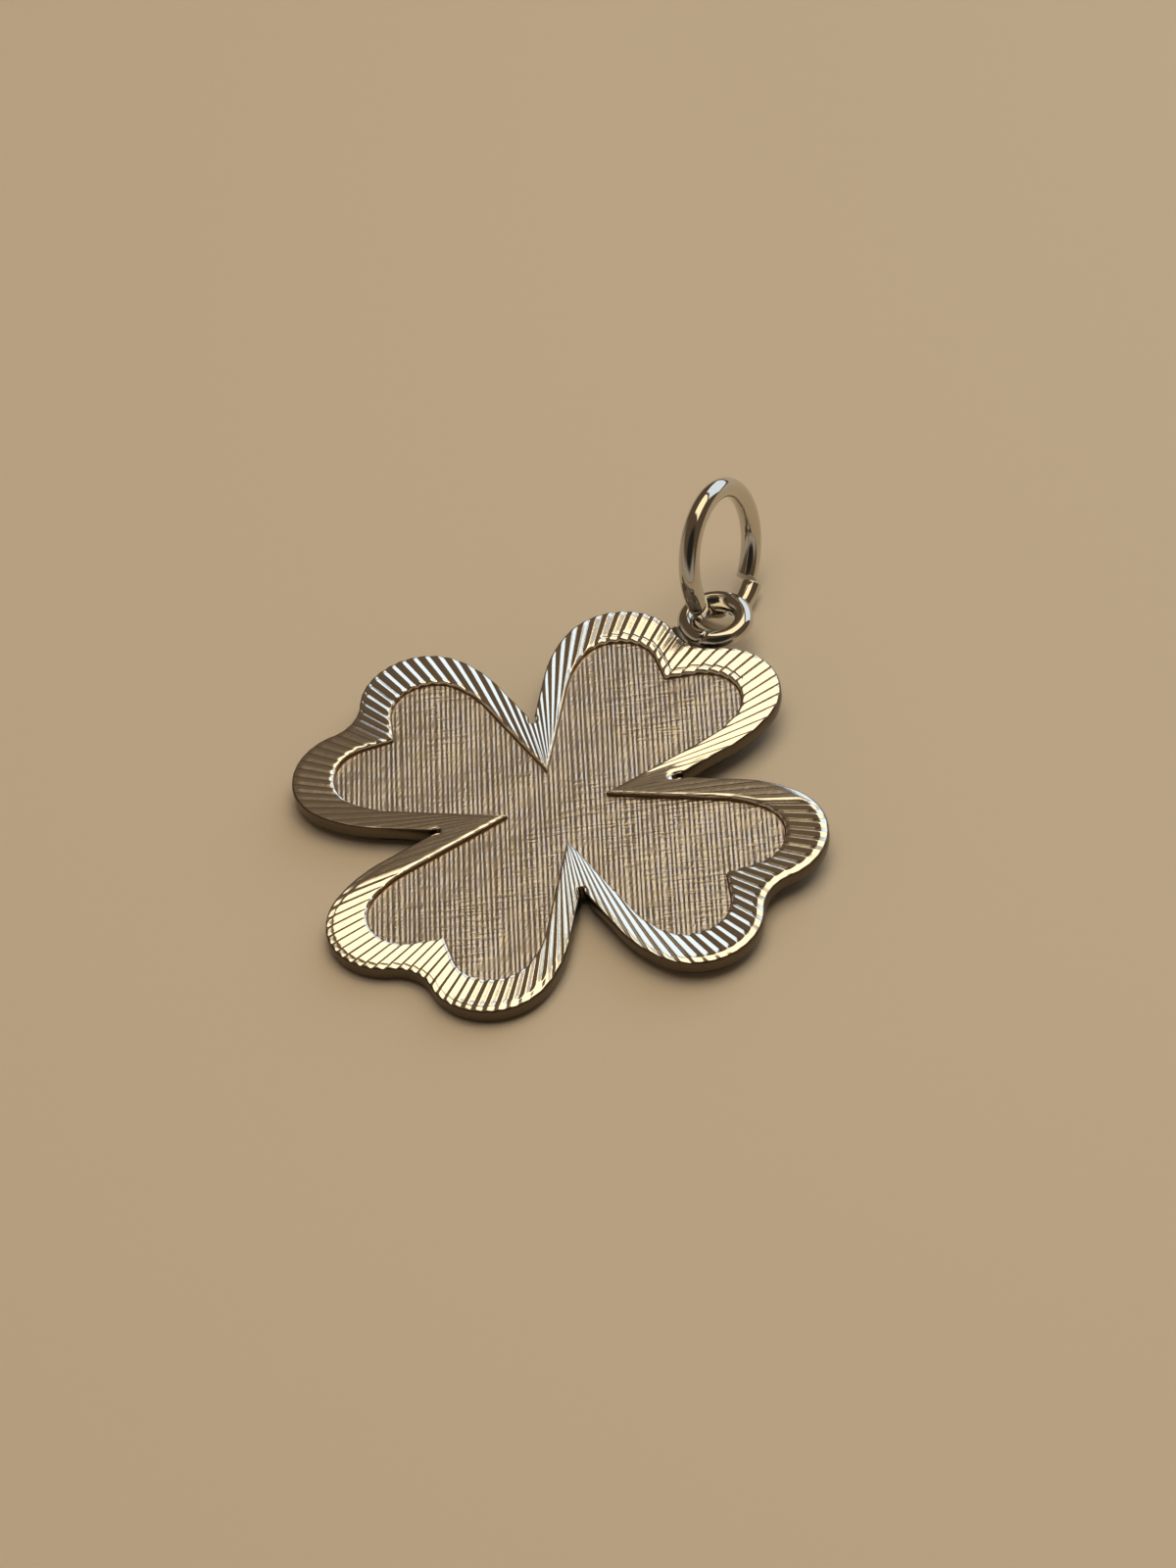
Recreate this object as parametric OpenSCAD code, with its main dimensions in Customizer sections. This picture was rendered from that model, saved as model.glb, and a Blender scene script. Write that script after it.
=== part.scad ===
// A four leaf clover pendant: a flat plate with four heart-shaped leaves, a bright-cut border round
// one sunk field, a loop soldered on at the top leaf's cleft and an open jump ring through the loop.
// It lies face up on a table as it would by itself: on the bottom leaf's edge and on the jump ring,
// which stands on its edge and lifts the loop a little. Millimetres, +Z up, the loop towards +Y.

/* [Clover] */
// Width across two opposite leaves
clover_w = 19.7; // [18.5:0.1:24]
// Width of one leaf across its two lobes
leaf_w = 9.13; // [8.6:0.1:9.6]
// Radius of a lobe
lobe_r = 2.38; // [2.1:0.02:2.6]
// Depth of the dent between a leaf's lobes
dent_depth = 0.65; // [0.4:0.05:0.9]
// Radius of a leaf's flank beside its lobe
flank_r = 5.16; // [4:0.1:7]
// Width of the slot's rounded end between two leaves
slot_w = 0.38; // [0.2:0.02:0.5]
// Thickness of the plate at its border
plate_t = 0.7; // [0.5:0.05:1.2]

/* [Sunk field] */
// Width of the border outside a lobe's end
tip_border = 1.46; // [1.2:0.02:1.8]
// Width of the border beside a lobe
side_border = 1.17; // [0.9:0.02:1.4]
// Radius of a lobe of the field
field_lobe_r = 1.55; // [1.3:0.02:1.7]
// Depth of the cleft between the field's lobes
cleft_depth = 1.07; // [0.8:0.05:1.3]
// Radius of the field's flank beside its lobe
field_flank_r = 4; // [3:0.1:5]
// Depth of the sunk field below the border
field_depth = 0.2; // [0.1:0.02:0.35]

/* [Bright-cut border] */
// Depth of the grooves at the leaves' ends
groove_depth = 0.1; // [0.04:0.01:0.16]
// Number of grooves round the whole border
groove_count = 148; // [100:4:200]

/* [Soldered loop] */
// Clear diameter of the loop's hole
loop_hole = 1.44; // [1.3:0.02:2.4]
// Diameter of the loop's wire
loop_wire = 0.72; // [0.5:0.02:0.9]
// Height of the loop's wire centre above the plate's back
loop_lift = 0.5; // [0.45:0.05:0.8]
// Gap between the loop and the dent, filled with solder
solder_gap = 0.18; // [0:0.02:0.3]
// Diameter of the solder drop
solder_d = 1.1; // [0.9:0.05:1.2]

/* [Jump ring] */
// Outer diameter of the jump ring
ring_d = 5.8; // [5.2:0.1:8]
// Diameter of the jump ring's wire
ring_wire = 0.78; // [0.5:0.02:0.82]
// Gap between the ring's cut ends
ring_gap = 0.22; // [0.1:0.02:0.5]
// Sideways offset of the cut ends from each other
ring_offset = 0.3; // [0:0.05:0.5]
// Lean of the standing ring away from upright, in degrees
ring_lean = 12; // [0:1:14]
// Turn of the ring's plane away from the clover's mid-line, in degrees
ring_turn = 6; // [0:1:14]
// Place of the cut, in degrees from the ring's lowest point
ring_cut = 28; // [10:1:60]

/* [Hidden] */
$fn = 96;

// Angle of the straight part of a leaf's flank, which its field's flank runs beside
flank_angle = 24;

// Centre of the right lobe of the leaf that points along +Y, and of its field's
leaf = clover_w / 2;
lobe = [leaf_w / 2 - lobe_r, leaf - lobe_r];
field_lobe = [leaf_w / 2 - side_border - field_lobe_r, leaf - tip_border - field_lobe_r];

// The dent is one arc that touches both lobes, and the cleft is sharp
dent_y = leaf - dent_depth;
dent_r = (pow(dent_y - lobe[1], 2) + pow(lobe[0], 2) - pow(lobe_r, 2)) / (2 * dent_depth);
cleft_y = leaf - tip_border - cleft_depth;

// The loop stands off the dent, and solder fills the gap
loop_r = (loop_hole + loop_wire) / 2;
loop_y = dent_y + solder_gap + loop_r + loop_wire / 2;

// The loop's far wire sits in the standing ring, this far round from the ring's lowest point
clearance = 0.03;
seat_angle = 36;
seat_side = 110;
ring_r = (ring_d - ring_wire) / 2;
seat_d = ring_r - (ring_wire + loop_wire) / 2 - clearance;
seat = [loop_r * cos(seat_side), loop_y + loop_r * sin(seat_side), loop_lift];

// Height of the ring's centre and of the seat above the table, and the tilt that the seat gives
ring_z = ring_r * cos(ring_lean) + ring_wire / 2;
seat_z = ring_z - seat_d * cos(seat_angle) * cos(ring_lean);
seat_reach = seat[1] + leaf;
tilt = asin(seat_z / norm([seat_reach, loop_lift])) - atan2(loop_lift, seat_reach);

// The ring's own directions: along the table in its plane, and up its plane
ring_along = [-sin(ring_turn), cos(ring_turn), 0];
ring_up = [-sin(ring_lean) * cos(ring_turn), -sin(ring_lean) * sin(ring_turn), cos(ring_lean)];

// The seat and the ring's centre with the clover tilted about its bottom leaf's edge
seat_on_table = [seat[0], seat_reach * cos(tilt) - seat[2] * sin(tilt) - leaf, seat_z];
ring_at = seat_on_table + seat_d * (sin(seat_angle) * ring_along + cos(seat_angle) * ring_up);

// The origin is on the table under the middle of the whole thing's length
ring_reach = ring_r * sqrt(1 - pow(cos(ring_lean) * sin(ring_turn), 2)) + ring_wire / 2;
back_end = -leaf - plate_t * sin(tilt);
front_end = ring_at[1] + ring_reach;
mid_y = (back_end + front_end) / 2;

// End of a flank's arc, where the straight part begins
function flank_end(lobe, r, side_r) =
    [lobe[0] + r - side_r * (1 - cos(flank_angle)), lobe[1] - side_r * sin(flank_angle)];

// Where a straight flank meets the next leaf's, on the diagonal between them
function flank_tip(end) =
    end[0] - (end[1] - end[0]) / (cos(flank_angle) - sin(flank_angle)) * sin(flank_angle);

// Half of one leaf, to the right of its mid-line, with the points that shape it between its lobes
module half_leaf(lobe, r, side_r, between) {
    end = flank_end(lobe, r, side_r);
    tip = flank_tip(end);
    translate(lobe) circle(r);
    intersection() {
        translate([lobe[0] + r - side_r, lobe[1]]) circle(side_r);
        polygon([[0, end[1]], [lobe[0] + r, end[1]], [lobe[0] + r, lobe[1]], [0, lobe[1]]]);
    }
    polygon([[0, 0], [tip, tip], end, [0, end[1]]]);
    polygon(concat([[0, lobe[1]]], between, [lobe]));
}

// One half of a leaf: the lobe stops where the dent's arc touches it
module leaf_outline() {
    touch = lobe + lobe_r / (lobe_r + dent_r) * [-lobe[0], dent_y + dent_r - lobe[1]];
    difference() {
        half_leaf(lobe, lobe_r, flank_r, [[0, touch[1]], touch]);
        translate([0, dent_y + dent_r]) circle(dent_r);
    }
}

// One half of a field: a straight line runs from the cleft to where it touches the lobe
module field_outline() {
    away = [field_lobe[0], cleft_y - field_lobe[1]];
    a = acos(field_lobe_r / norm(away)) + atan2(away[1], away[0]);
    touch = field_lobe + field_lobe_r * [-cos(a), sin(a)];
    half_leaf(field_lobe, field_lobe_r, field_flank_r, [[0, cleft_y], touch]);
}

module four_leaves() {
    for (turn = [0:90:270]) rotate(turn) {
        children();
        mirror([1, 0]) children();
    }
}

module plate_outline() {
    // The slot's end reaches a little past the point where the flanks meet
    slot_end = flank_tip(flank_end(lobe, lobe_r, flank_r)) + slot_w / 4;
    difference() {
        four_leaves() leaf_outline();
        for (turn = [0:90:270]) rotate(turn) translate([slot_end, slot_end]) circle(d = slot_w);
    }
}

// A round fan of straight ridges from the centre, level on the crests and deeper outwards between
module fan() {
    reach = 1.2 * leaf;
    n = 2 * groove_count;
    drop = groove_depth / leaf * reach;
    rim = [for (i = [0:n - 1]) let (a = 360 * i / n) [
        reach * cos(a), reach * sin(a), plate_t - (i % 2 == 0 ? 0 : drop)
    ]];
    foot = [for (p = rim) [p[0], p[1], -1]];
    polyhedron(
        points = concat([[0, 0, plate_t]], rim, foot),
        faces = concat(
            [for (i = [0:n - 1]) [0, 1 + (i + 1) % n, 1 + i]],
            [for (i = [0:n - 1]) [1 + i, 1 + (i + 1) % n, 1 + n + (i + 1) % n]],
            [for (i = [0:n - 1]) [1 + i, 1 + n + (i + 1) % n, 1 + n + i]],
            [[for (i = [0:n - 1]) 1 + n + i]]
        )
    );
}

module plate() {
    difference() {
        intersection() {
            linear_extrude(plate_t + 1) plate_outline();
            fan();
        }
        translate([0, 0, plate_t - field_depth]) linear_extrude(1) four_leaves() field_outline();
    }
}

module soldered_loop() {
    translate([0, loop_y, loop_lift]) rotate_extrude() translate([loop_r, 0]) circle(d = loop_wire);
    // The solder drop stays below the plate's face and inside the loop's wire
    translate([0, loop_y - loop_r - loop_wire / 4, plate_t / 4]) cylinder(h = plate_t / 2, d = solder_d);
}

// The clover lies on its bottom leaf's edge, raised at the loop's end
module clover() {
    color("silver") translate([0, -leaf - mid_y, 0]) rotate([tilt, 0, 0]) translate([0, leaf, 0]) {
        plate();
        soldered_loop();
    }
}

// Half of the open ring, from the side opposite the cut to the cut, bent sideways about its start
module ring_half(bend) {
    arc = 180 - asin(ring_gap / 2 / ring_r);
    translate([ring_r, 0, 0]) rotate([0, bend, 0]) translate([-ring_r, 0, 0])
        rotate_extrude(angle = arc) translate([ring_r, 0]) circle(d = ring_wire);
}

// The half that stands on the table is flat, and the other half is bent away from it at the cut
module jump_ring() {
    bend = asin(ring_offset / (2 * ring_r));
    color("gainsboro") translate(ring_at - [0, mid_y, 0])
        rotate([0, 0, ring_turn]) rotate([0, -ring_lean, 0]) rotate([90, 0, 90]) rotate(ring_cut + 90) {
            ring_half(0);
            mirror([0, 1, 0]) ring_half(-bend);
        }
}

clover();
jump_ring();
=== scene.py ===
import bpy
import numpy as np
from mathutils import Matrix, Vector


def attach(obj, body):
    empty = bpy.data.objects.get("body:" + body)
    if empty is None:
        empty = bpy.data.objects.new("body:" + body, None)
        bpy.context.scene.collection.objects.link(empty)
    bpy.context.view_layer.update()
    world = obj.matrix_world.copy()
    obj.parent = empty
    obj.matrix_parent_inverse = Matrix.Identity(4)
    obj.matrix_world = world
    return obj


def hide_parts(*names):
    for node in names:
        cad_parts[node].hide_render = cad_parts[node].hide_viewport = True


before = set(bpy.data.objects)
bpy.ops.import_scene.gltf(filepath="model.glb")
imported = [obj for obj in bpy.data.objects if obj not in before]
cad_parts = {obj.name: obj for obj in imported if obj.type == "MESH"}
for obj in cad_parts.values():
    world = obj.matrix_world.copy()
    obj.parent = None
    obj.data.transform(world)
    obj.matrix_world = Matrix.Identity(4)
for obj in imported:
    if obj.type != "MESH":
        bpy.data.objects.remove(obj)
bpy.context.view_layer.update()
print("frame loaded")
scene = bpy.context.scene
mm = 0.001

# how the pendant lies: tipped about the back edge of its bottom leaf, degrees and millimetres
lying = dict(tilt=2.58136, hinge=9.85, middle=2.88827)


def tip(points):
    # the floor's y is cos(tilt) y - sin(tilt) z and its z is sin(tilt) y + cos(tilt) z
    a = np.radians(lying["tilt"])
    x, y, z = np.moveaxis(np.asarray(points, float), -1, 0)
    return np.stack([x, np.cos(a) * y - np.sin(a) * z, np.sin(a) * y + np.cos(a) * z], -1)


def layDown(points):
    # moves the hinge edge to y = 0, tips, moves it back, and puts the origin under the middle of the length
    hinge = np.array([0, lying["hinge"], 0])
    return mm * (tip(np.asarray(points, float) + hinge) - hinge - [0, lying["middle"], 0])


def toLinear(hexColour):
    # sRGB hex to linear: c / 12.92 below 0.04045, ((c + 0.055) / 1.055) ^ 2.4 above
    c = np.array([int(hexColour[i:i + 2], 16) for i in (1, 3, 5)]) / 255
    return (*np.where(c <= 0.04045, c / 12.92, ((c + 0.055) / 1.055) ** 2.4), 1.0)


def makeMesh(name, points, ringed=False, firstPole=None, lastPole=None, inward=False):
    # a grid of rows and columns becomes quads; the last column joins the first, and the last row too if
    # ringed; a pole closes the first or the last row with triangles; inward turns every face round
    rows, cols = points.shape[:2]
    index = np.arange(rows * cols).reshape(rows, cols)
    i, j = np.meshgrid(np.arange(rows if ringed else rows - 1), np.arange(cols), indexing="ij")
    nextRow, nextCol = (i + 1) % rows, (j + 1) % cols
    quads = [index[i, j], index[i, nextCol], index[nextRow, nextCol], index[nextRow, j]]
    faces = [np.stack(quads, -1).reshape(-1, 4)]
    verts = points.reshape(-1, 3)
    top, bottom = index[0], index[-1]
    for pole, first, second in ((firstPole, np.roll(top, -1), top), (lastPole, bottom, np.roll(bottom, -1))):
        if pole is not None:
            faces.append(np.stack([first, second, np.full(cols, len(verts))], -1))
            verts = np.concatenate([verts, [pole]])
    if inward:
        faces = [face[:, ::-1] for face in faces]
    corners = np.concatenate([face.ravel() for face in faces]).astype(np.int32)
    sizes = np.concatenate([np.full(len(face), face.shape[1]) for face in faces])
    mesh = bpy.data.meshes.new(name)
    mesh.vertices.add(len(verts))
    mesh.vertices.foreach_set("co", verts.astype(np.float32).ravel())
    mesh.loops.add(len(corners))
    mesh.loops.foreach_set("vertex_index", corners)
    mesh.polygons.add(len(sizes))
    mesh.polygons.foreach_set("loop_start", (np.cumsum(sizes) - sizes).astype(np.int32))
    mesh.polygons.foreach_set("use_smooth", np.ones(len(sizes), bool))
    mesh.update(calc_edges=True)
    mesh.validate()
    piece = bpy.data.objects.new(name, mesh)
    scene.collection.objects.link(piece)
    return piece


def addNode(tree, kind, settings=None, links=None):
    # adds a node, sets its own fields or its sockets by name or number, and links sockets into it
    node = tree.nodes.new(kind)
    for key, value in (settings or {}).items():
        if isinstance(key, str) and hasattr(node, key):
            setattr(node, key, value)
        else:
            node.inputs[key].default_value = value
    for key, socket in (links or {}).items():
        tree.links.new(socket, node.inputs[key])
    return node


# millimetres and degrees; directions are counted from the right leaf's cleft, anticlockwise
clover = dict(
    # the outline: each leaf has two lobes with a dent between them, and a slot parts it from the next
    width=19.7, leafWidth=9.13, lobeRadius=2.38, dentDepth=0.65, flankRadius=5.16, flankAngle=24, slotWidth=0.38,
    # the sunk field's line inside it
    tipBorder=1.46, sideBorder=1.17, fieldLobeRadius=1.55, cleftDepth=1.07, fieldFlankRadius=4.0,
    thickness=0.7, fieldDepth=0.2, backRound=0.24,
    # the ridges of the border, the grooves' depth at the leaves' ends, and how much it varies from ridge to ridge
    ridges=148, ridgeDepth=0.095, unevenBy=0.06, unevenSeed=7,
    # the ridges' spacing grows towards this direction, by this share, as cut from an off-centre spindle
    wideAt=70, wideBy=0.07,
    # the rims were rounded before the grooves were cut, so each ridge ends in a bead: a gentle roll with its
    # width and angle, and a tight round with its width and drop, at the outer rim and at the field
    rimRoll=(0.27, 18), rimRound=(0.06, 0.09), fieldRoll=(0.16, 30), fieldRound=(0.04, 0.06),
    # a small step down before the bottom leaf's rim: from the rim, its width and its drop, and its directions
    rimStep=(0.26, 0.05, 0.016), rimStepFrom=(232, 308), rimStepSoft=6,
    # the grooves run out at the very edge, over this width and by this share
    runOut=(0.16, 0.75),
    # a beaded line: how far from the rim the grooves stop, over what width and by what share, its wider roll, and
    # how much it lessens the painted valley shade
    bead=(0.35, 0.05, 0.8), beadRoll=0.08, beadShadeLift=0.2,
    # the cutter left the metal smooth round one slot's end: direction, spread, reach, and the soft ends of both
    smooth=dict(at=45, spread=9, reach=5.0, softSpread=3, softReach=0.4, share=0.95),
    # where the cutter only skimmed, the field's roll keeps the grooves' beads by this share
    skimBeads=0.7,
    # a slip of the cutter across the ridges of the top leaf, this far out from the field; it wavers by a share
    # of that distance, by so many radians a degree
    slip=dict(start=72, stop=113, out=0.29, width=0.03, depth=0.035, waver=0.06, waverPace=0.9),
    # columns inside one ridge from crest to crest, half of them before its valley, and round each slot's end,
    # whose directions lie this near to the diagonal; a ridge's inner end takes this share of its turn
    ridgeStops=(0, 0.03, 0.07, 0.2, 0.35, 0.45, 0.5, 0.55, 0.65, 0.8, 0.93, 0.97), slotStops=10,
    slotSpread=3.4, turnShare=0.8,
    # rows across the border: distances from the field's line and from the outer line, which take at most this
    # share of the way each, and shares of the way between them
    innerRows=(0, 0.01, 0.03, 0.06, 0.1, 0.15, 0.22, 0.25, 0.27, 0.29, 0.31, 0.33, 0.36),
    outerRows=(0.36, 0.3, 0.27, 0.25, 0.22, 0.17, 0.11, 0.06, 0.035, 0.015, 0),
    rowShare=0.35, middleRows=(0.2, 0.4, 0.6, 0.8), leastSlant=0.3,
    # rows on the field's floor, as shares of the way to the row nearest the wall, and rows along the wall:
    # their distance from it, less where the field is narrower than this radius, and how far they sink
    floorRows=(0.12, 0.3, 0.5, 0.7, 0.85, 0.95), wallRows=((0.13, 0), (0.08, 0), (0.05, 0), (0.025, 0.008)),
    narrowUnder=4,
    # rows of the edge's round in degrees, which grows to its full width from one radius on, over a distance,
    # and rows of the back in shares; both widths keep at least this share; the value edge and back get in the mask
    # of the painted valley shade
    roundRows=(0, 30, 60, 90), roundGrows=(4.2, 1.5), backRows=(0.93, 0.7, 0.4, 0.15), leastWidth=0.25,
    plainUnshaded=0.7,
    # what changes round the border: directions, and the value at each
    alongBorder=dict(
        # how far a ridge turns from the ray through the centre, in degrees
        turn=([-45, -22, 0, 22, 45, 61, 70, 81, 90, 98, 119, 135, 150, 165, 180, 200, 225, 245, 270, 292, 315],
              [0, 2.4, 1.5, 1, 0, 1, 4, 2, 0.5, -1, -3.5, 0, -2, -4.5, -5, -3, 0, -3, -5, -3, 0]),
        # where the valley lies between two crests, as a share of the spacing
        valley=([-50, -40, -25, -15, 45, 53, 67, 95, 112, 122, 225, 237, 281, 285, 294, 302, 310],
                [0.72, 0.76, 0.74, 0.5, 0.5, 0.3, 0.29, 0.31, 0.42, 0.5, 0.5, 0.7, 0.69, 0.48, 0.55, 0.55, 0.72]),
        # how far the crests and the valleys are rounded, as a share of a facet's width
        crestSoft=([-50, -30, -20, 45, 52, 150, 170, 218, 235, 310],
                   [0.3, 0.3, 0.04, 0.04, 0.3, 0.3, 0.08, 0.08, 0.3, 0.3]),
        valleySoft=([-50, -30, -20, 45, 52, 150, 170, 218, 235, 310],
                    [0.14, 0.14, 0.04, 0.04, 0.14, 0.14, 0.08, 0.08, 0.14, 0.14]),
        # how deep the grooves are, as a share of ridgeDepth: the cutter only skimmed two stretches
        depth=([-50, 27, 29, 45, 50, 177, 185, 203, 210, 236, 243, 310],
               [1, 1, 0.04, 0.03, 1, 1, 0.25, 0.2, 0.05, 0.05, 1, 1]),
        # the rolls and the round, as shares of rimRoll, fieldRoll and rimRound
        rimRoll=([-50, -41, -37, 30, 36, 42.5, 43.5, 46.5, 49, 126, 130, 140, 144, 200, 207, 236, 243, 300, 306],
                 [0.2, 0.2, 1, 1, 0.1, 0.1, 1.5, 1.5, 1, 1, 0.2, 0.2, 1, 1, 0.1, 0.1, 1, 1, 0.2]),
        fieldRoll=([-50, 31, 35, 46, 50, 208, 214, 236, 242], [1, 1, 0.1, 0.1, 1, 1, 0.6, 0.6, 1]),
        rimRound=([-50, -27, -22, 28, 34, 215, 219, 231, 235], [1, 1, 0.4, 0.4, 1, 1, 0.25, 0.25, 1]),
        # where the beaded line runs
        bead=([-50, -29, -24, 30, 34, 279, 284, 300, 306], [0, 0, 1, 1, 0, 0, 0.75, 0.75, 0])),
)


def foldFrom(start, direction):
    # the same direction, counted on from the start
    return (direction - start) % 360 + start


def along(name, direction):
    # a value of the border between its two nearest directions, in proportion
    at, values = clover["alongBorder"][name]
    return np.interp(foldFrom(at[0], direction), at, values)


def arcOf(cx, cy, radius, start, stop, step=0.02):
    # points at the centre plus the radius times (cos a, sin a)
    count = max(3, int(abs(np.radians(stop - start)) * radius / step))
    a = np.radians(np.linspace(start, stop, count))
    return np.stack([cx + radius * np.cos(a), cy + radius * np.sin(a)], -1)


def lineOf(start, stop, step=0.02):
    # points at even shares of the way from start to stop
    count = max(3, int(np.hypot(*np.subtract(stop, start)) / step))
    return np.linspace(start, stop, count)


def allRound(parts):
    # the parts make half a leaf, it and its mirror image in x make a leaf, and four quarter turns close the line
    half = np.concatenate([parts[0]] + [part[1:] for part in parts[1:]])
    leaf = np.concatenate([half, (half * [-1, 1])[::-1][1:]])
    turns = []
    for c, s in ((1, 0), (0, 1), (-1, 0), (0, -1)):
        turns.append(np.stack([c * leaf[:, 0] - s * leaf[:, 1], s * leaf[:, 0] + c * leaf[:, 1]], -1)[:-1])
    return np.concatenate(turns)


def flank(lobe, radius, side):
    # the flank's arc touches the lobe's outermost point, and a straight line runs on to the diagonal
    a = np.radians(clover["flankAngle"])
    end = np.array([lobe[0] + radius - side * (1 - np.cos(a)), lobe[1] - side * np.sin(a)])
    tipAt = end[0] - (end[1] - end[0]) / (np.cos(a) - np.sin(a)) * np.sin(a)
    return end, tipAt


def outerLine():
    # slot end, straight flank, flank arc, lobe and dent, each touching the next
    c = clover
    leaf, radius = c["width"] / 2, c["lobeRadius"]
    lobe = np.array([c["leafWidth"] / 2 - radius, leaf - radius])
    dentY = leaf - c["dentDepth"]
    dentR = ((dentY - lobe[1]) ** 2 + lobe[0] ** 2 - radius ** 2) / (2 * c["dentDepth"])
    end, tipAt = flank(lobe, radius, c["flankRadius"])
    slot, slotR = tipAt + c["slotWidth"] / 4, c["slotWidth"] / 2
    way = (end - tipAt) / np.hypot(*(end - tipAt))
    near = np.array([slot, slot]) - tipAt
    meet = tipAt + way * (near @ way + np.sqrt(slotR ** 2 - (near @ near - (near @ way) ** 2)))
    meetAngle = np.degrees(np.arctan2(meet[1] - slot, meet[0] - slot))
    touch = np.degrees(np.arctan2(dentY + dentR - lobe[1], -lobe[0]))
    return allRound([
        arcOf(slot, slot, slotR, 225, meetAngle, 0.01),
        lineOf(meet, end),
        arcOf(lobe[0] + radius - c["flankRadius"], lobe[1], c["flankRadius"], -c["flankAngle"], 0),
        arcOf(*lobe, radius, 0, touch),
        arcOf(0, dentY + dentR, dentR, touch - 180, -90)])


def fieldLine():
    # straight flank, flank arc, lobe, and a straight line that touches the lobe and runs to the cleft
    c = clover
    leaf, radius = c["width"] / 2, c["fieldLobeRadius"]
    lobe = np.array([c["leafWidth"] / 2 - c["sideBorder"] - radius, leaf - c["tipBorder"] - radius])
    cleft = leaf - c["tipBorder"] - c["cleftDepth"]
    end, tipAt = flank(lobe, radius, c["fieldFlankRadius"])
    away = np.array([lobe[0], cleft - lobe[1]])
    touch = 180 - np.degrees(np.arccos(radius / np.hypot(*away)) + np.arctan2(away[1], away[0]))
    a = np.radians(touch)
    return allRound([
        lineOf((tipAt, tipAt), end),
        arcOf(lobe[0] + radius - c["fieldFlankRadius"], lobe[1], c["fieldFlankRadius"], -c["flankAngle"], 0),
        arcOf(*lobe, radius, 0, touch),
        lineOf(lobe + radius * np.array([np.cos(a), np.sin(a)]), (0, cleft))])


def bearing(points):
    # the direction of each point from the centre, in degrees, growing without a jump
    return np.degrees(np.unwrap(np.arctan2(points[:, 1], points[:, 0])))


def outwards(points):
    # the normal of a closed line, from the difference of its two neighbours
    step = np.roll(points, -1, 0) - np.roll(points, 1, 0)
    step /= np.hypot(*step.T)[:, None]
    return np.stack([step[:, 1], -step[:, 0]], -1)


def nearest(points, line):
    # the distance from each point to the nearest of every second point of a line
    gaps = points[:, None] - line[None, ::2]
    return np.min(np.hypot(gaps[..., 0], gaps[..., 1]), 1)


def ridgeCount(direction):
    # crests passed up to a direction: the integral of 1 / (1 + share cos(direction - wideAt))
    turned = np.radians(direction)
    turns = turned - clover["wideBy"] * np.sin(turned - np.radians(clover["wideAt"]))
    return clover["ridges"] * turns / (2 * np.pi)


def roundedV(share, valley, crestSoft, valleySoft):
    # 0 at a crest and nearly 1 at a valley: the integral of a slope that rises over crestSoft, stays, and
    # falls over valleySoft
    u = np.where(share < valley, share / valley, (1 - share) / (1 - valley))
    v = np.where(u < crestSoft, u ** 2 / (2 * crestSoft), u - crestSoft / 2)
    return v - np.where(u > 1 - valleySoft, (u - 1 + valleySoft) ** 2 / (2 * valleySoft), 0)


def tightRound(distance, run, drop):
    # how far a rounded edge has dropped at a distance from it: drop (1 - sqrt(1 - (1 - distance / run)^2))
    u = np.clip(1 - distance / run, 0, 1)
    return drop * (1 - np.sqrt(1 - u ** 2))


def gentleRoll(distance, run, angle):
    # a roll towards an edge, steepest at it: tan(angle) (run - distance)^2 / (2 run)
    return np.tan(np.radians(angle)) * np.clip(run - distance, 0, None) ** 2 / (2 * run)


def between(direction, start, stop, soft=2.0):
    # 1 between two directions, with smooth ends
    t = np.clip(np.minimum(direction - start, stop - direction) / soft, 0, 1)
    return t * t * (3 - 2 * t)


def columnPlaces(length, angle, rising):
    # places along the outer line: every ridge's columns, close together at its crest and its valley, and more
    # round each slot's end, where the line's direction turns back
    c = clover
    first = ridgeCount(angle[0])
    crests = np.arange(np.ceil(first), np.ceil(first) + c["ridges"])
    valley = along("valley", np.interp(crests, ridgeCount(rising), rising))[:, None]
    stops = np.array(c["ridgeStops"])
    moved = np.where(stops < 0.5, stops * 2 * valley, 1 - (1 - stops) * 2 * (1 - valley))
    wanted = (crests[:, None] + moved).ravel()
    wanted = np.where(wanted >= first + c["ridges"], wanted - c["ridges"], wanted)
    # a tiny slope keeps the count growing where the direction stands still
    places = np.interp(wanted, ridgeCount(rising) + 1e-7 * length, length)
    hidden = rising - angle > 1e-6
    starts = np.flatnonzero(hidden & ~np.roll(hidden, 1))
    ends = np.flatnonzero(hidden & ~np.roll(hidden, -1))
    extra = [np.linspace(length[a], length[b], c["slotStops"]) for a, b in zip(starts, ends)]
    return np.unique(np.round(np.concatenate([places, *extra]), 6))


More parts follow.
